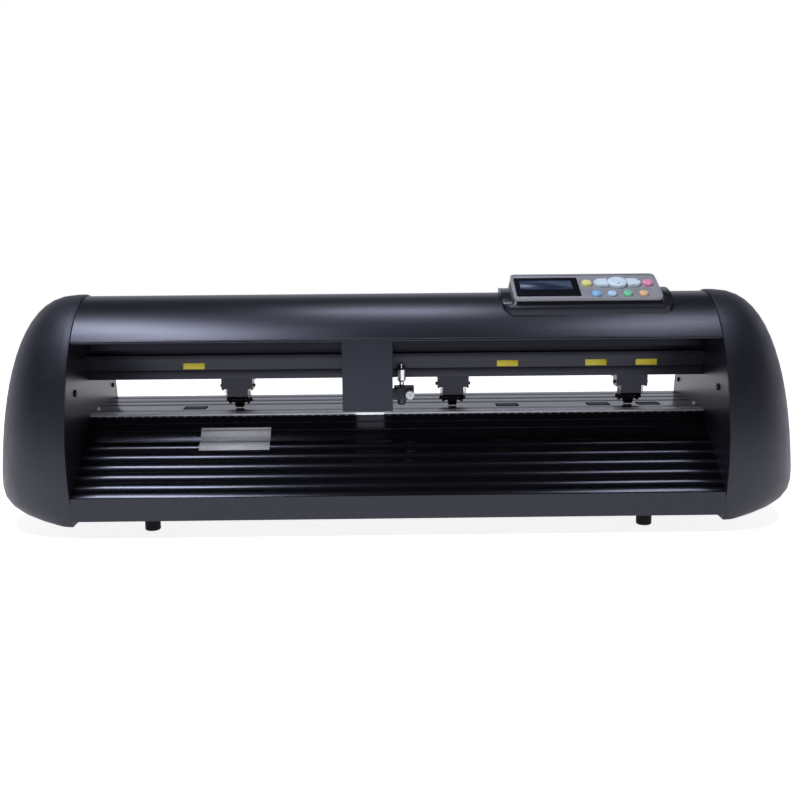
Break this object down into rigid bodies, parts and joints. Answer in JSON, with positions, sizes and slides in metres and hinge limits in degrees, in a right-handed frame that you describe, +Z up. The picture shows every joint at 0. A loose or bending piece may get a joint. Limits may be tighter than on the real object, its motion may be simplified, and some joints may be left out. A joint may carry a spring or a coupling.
{
  "type": "vinyl cutter",
  "caption": "Desktop roll vinyl cutter: ribbed front apron, platen, pinch rollers and a knife carriage on a beam under an arched cover, with a tilted keypad and rounded end caps.",
  "frame": {"origin": "on the standing surface under the feet, midway across the width and the depth", "axes": "+X to the right as the user faces the machine, +Y from front to back, +Z up; the front apron faces -Y"},
  "size_m": [0.9278, 0.236, 0.2817],
  "materials": {
    "cap_plastic": "fine leather-grain moulded, near black",
    "black_anodised": "black satin anodised extrusion",
    "plate_paint": "semi-gloss black powder coat",
    "platen_grey": "grey satin anodised",
    "strip_white": "smooth white",
    "rubber_black": "matte",
    "bright_steel": "bright",
    "dark_steel": "blackened, oiled",
    "motor_black": "satin black with laminated steel middle",
    "pulley_alu": "machined",
    "pcb": "green solder mask",
    "zinc_sheet": "zinc plated",
    "inlet_plastic": "semi-gloss black",
    "panel_dark": "fine textured",
    "panel_grey": "metallic grey paint",
    "lcd_glass": "polished acrylic",
    "bare_alu": "bead blasted",
    "cover_black": "satin black powder coat",
    "block_black": "black anodised",
    "holder_chrome": "polished",
    "coil_brown": "zinc frame round a taped coil",
    "knob_white": "gloss white",
    "pinch_black": "satin black",
    "key_yellow": "soft gloss",
    "key_pink": "soft gloss",
    "key_blue": "soft gloss",
    "key_sky": "soft gloss",
    "key_green": "soft gloss",
    "key_orange": "soft gloss",
    "key_grey": "pale blue-grey, soft gloss"
  },
  "bodies": {
    "frame": {"left_end_cap": "cap_plastic", "right_end_cap": "cap_plastic", "left_side_plate": "plate_paint", "right_side_plate": "plate_paint", "top_cover": "black_anodised", "beam": "black_anodised", "linear_rail": "dark_steel", "platen": "platen_grey", "cutting_strip": "strip_white", "front_apron": "black_anodised", "rear_panel": "black_anodised", "base_tray": "plate_paint", "rubber_feet": "rubber_black", "machine_screws": "bright_steel", "shaft_bearings": "bright_steel", "feed_motor": "motor_black", "carriage_motor": "motor_black", "idler_bracket": "zinc_sheet", "feed_belt": "rubber_black", "carriage_belt": "rubber_black", "mainboard": "pcb", "power_supply": "zinc_sheet", "power_inlet": "inlet_plastic", "panel_base": "panel_dark", "panel_bezel": "panel_grey", "lcd_window": "lcd_glass", "keypad_board": "pcb"},
    "grit_drive": {"grit_shaft": "bright_steel", "grit_rollers": "bright_steel", "feed_pulley": "pulley_alu"},
    "feed_motor_rotor": {"feed_motor_pulley": "pulley_alu"},
    "carriage_motor_rotor": {"carriage_motor_pulley": "pulley_alu"},
    "idler": {"idler_pulley": "pulley_alu"},
    "carriage": {"carriage_plate": "bare_alu", "carriage_cover": "cover_black", "rail_block": "bright_steel", "lift_solenoid": "coil_brown"},
    "tool": {"tool_holder": "block_black", "blade_holder": "holder_chrome", "blade": "bright_steel"},
    "clamp_screw": {"clamp_knob": "knob_white"},
    "rocker": {"power_rocker": "inlet_plastic"},
    "key_yellow_cap": {"key_yellow": "key_yellow"},
    "key_pink_cap": {"key_pink": "key_pink"},
    "key_blue_cap": {"key_blue": "key_blue"},
    "key_sky_cap": {"key_sky": "key_sky"},
    "key_green_cap": {"key_green": "key_green"},
    "key_orange_cap": {"key_orange": "key_orange"},
    "key_left_cap": {"key_left": "key_grey"},
    "key_centre_cap": {"key_centre": "key_grey"},
    "key_right_cap": {"key_right": "key_grey"},
    "pinch_unit_1": {"pinch_bracket_1": "pinch_black"},
    "pinch_lever_1": {"pinch_arm_1": "pinch_black"},
    "pinch_wheel_1": {"pinch_roller_1": "rubber_black"},
    "pinch_unit_2": {"pinch_bracket_2": "pinch_black"},
    "pinch_lever_2": {"pinch_arm_2": "pinch_black"},
    "pinch_wheel_2": {"pinch_roller_2": "rubber_black"},
    "pinch_unit_3": {"pinch_bracket_3": "pinch_black"},
    "pinch_lever_3": {"pinch_arm_3": "pinch_black"},
    "pinch_wheel_3": {"pinch_roller_3": "rubber_black"}
  },
  "joints": [
    {"name": "carriage_slide", "type": "slide", "parent": "frame", "child": "carriage", "axis": [1, 0, 0], "range_m": [-0.29, 0.335]},
    {"name": "carriage_motor_spin", "type": "hinge", "parent": "frame", "child": "carriage_motor_rotor", "pos_m": [0.388, -0.004, 0.219], "axis": [0, 0, 1], "continuous": true},
    {"name": "idler_spin", "type": "hinge", "parent": "frame", "child": "idler", "pos_m": [-0.388, -0.004, 0.219], "axis": [0, 0, 1], "continuous": true},
    {"name": "tool_lift", "type": "slide", "parent": "carriage", "child": "tool", "axis": [0, 0, 1], "range_m": [-0.004, 0], "stiffness_N_per_m": 150, "springref_m": 0.008},
    {"name": "clamp_screw_turn", "type": "hinge", "parent": "tool", "child": "clamp_screw", "pos_m": [0.0145, -0.028, 0.1448], "axis": [0, 1, 0], "range_deg": [0, 300]},
    {"name": "grit_spin", "type": "hinge", "parent": "frame", "child": "grit_drive", "pos_m": [0, 0.0235, 0.1121], "axis": [1, 0, 0], "continuous": true},
    {"name": "feed_motor_spin", "type": "hinge", "parent": "frame", "child": "feed_motor_rotor", "pos_m": [0.37, -0.006, 0.06], "axis": [1, 0, 0], "continuous": true},
    {"name": "power_rocker_tilt", "type": "hinge", "parent": "frame", "child": "rocker", "pos_m": [0.3025, 0.1095, 0.044], "axis": [0, 0, 1], "range_deg": [-18, 0]},
    {"name": "pinch_unit_slide_1", "type": "slide", "parent": "frame", "child": "pinch_unit_1", "axis": [1, 0, 0], "range_m": [-0.144, 0.1]},
    {"name": "pinch_lever_lift_1", "type": "hinge", "parent": "pinch_unit_1", "child": "pinch_lever_1", "pos_m": [-0.191, 0.012, 0.152], "axis": [1, 0, 0], "range_deg": [0, 14]},
    {"name": "pinch_wheel_spin_1", "type": "hinge", "parent": "pinch_lever_1", "child": "pinch_wheel_1", "pos_m": [-0.191, 0.0235, 0.133], "axis": [1, 0, 0], "continuous": true},
    {"name": "pinch_unit_slide_2", "type": "slide", "parent": "frame", "child": "pinch_unit_2", "axis": [1, 0, 0], "range_m": [-0.125, 0.095]},
    {"name": "pinch_lever_lift_2", "type": "hinge", "parent": "pinch_unit_2", "child": "pinch_lever_2", "pos_m": [0.067, 0.012, 0.152], "axis": [1, 0, 0], "range_deg": [0, 14]},
    {"name": "pinch_wheel_spin_2", "type": "hinge", "parent": "pinch_lever_2", "child": "pinch_wheel_2", "pos_m": [0.067, 0.0235, 0.133], "axis": [1, 0, 0], "continuous": true},
    {"name": "pinch_unit_slide_3", "type": "slide", "parent": "frame", "child": "pinch_unit_3", "axis": [1, 0, 0], "range_m": [-0.07, 0.054]},
    {"name": "pinch_lever_lift_3", "type": "hinge", "parent": "pinch_unit_3", "child": "pinch_lever_3", "pos_m": [0.281, 0.012, 0.152], "axis": [1, 0, 0], "range_deg": [0, 14]},
    {"name": "pinch_wheel_spin_3", "type": "hinge", "parent": "pinch_lever_3", "child": "pinch_wheel_3", "pos_m": [0.281, 0.0235, 0.133], "axis": [1, 0, 0], "continuous": true},
    {"name": "key_yellow_press", "type": "slide", "parent": "frame", "child": "key_yellow_cap", "axis": [0, 0.4226, -0.9063], "range_m": [0, 0.001], "stiffness_N_per_m": 400, "springref_m": -0.0008},
    {"name": "key_pink_press", "type": "slide", "parent": "frame", "child": "key_pink_cap", "axis": [0, 0.4226, -0.9063], "range_m": [0, 0.001], "stiffness_N_per_m": 400, "springref_m": -0.0008},
    {"name": "key_blue_press", "type": "slide", "parent": "frame", "child": "key_blue_cap", "axis": [0, 0.4226, -0.9063], "range_m": [0, 0.001], "stiffness_N_per_m": 400, "springref_m": -0.0008},
    {"name": "key_sky_press", "type": "slide", "parent": "frame", "child": "key_sky_cap", "axis": [0, 0.4226, -0.9063], "range_m": [0, 0.001], "stiffness_N_per_m": 400, "springref_m": -0.0008},
    {"name": "key_green_press", "type": "slide", "parent": "frame", "child": "key_green_cap", "axis": [0, 0.4226, -0.9063], "range_m": [0, 0.001], "stiffness_N_per_m": 400, "springref_m": -0.0008},
    {"name": "key_orange_press", "type": "slide", "parent": "frame", "child": "key_orange_cap", "axis": [0, 0.4226, -0.9063], "range_m": [0, 0.001], "stiffness_N_per_m": 400, "springref_m": -0.0008},
    {"name": "key_left_press", "type": "slide", "parent": "frame", "child": "key_left_cap", "axis": [0, 0.4226, -0.9063], "range_m": [0, 0.001], "stiffness_N_per_m": 400, "springref_m": -0.0008},
    {"name": "key_centre_press", "type": "slide", "parent": "frame", "child": "key_centre_cap", "axis": [0, 0.4226, -0.9063], "range_m": [0, 0.001], "stiffness_N_per_m": 400, "springref_m": -0.0008},
    {"name": "key_right_press", "type": "slide", "parent": "frame", "child": "key_right_cap", "axis": [0, 0.4226, -0.9063], "range_m": [0, 0.001], "stiffness_N_per_m": 400, "springref_m": -0.0008}
  ],
  "couplings": [
    {"joint": "carriage_motor_spin", "follows": "carriage_slide", "rad_per_m": 125},
    {"joint": "idler_spin", "follows": "carriage_slide", "rad_per_m": 125},
    {"joint": "feed_motor_spin", "follows": "grit_spin", "ratio": 3}
  ]
}
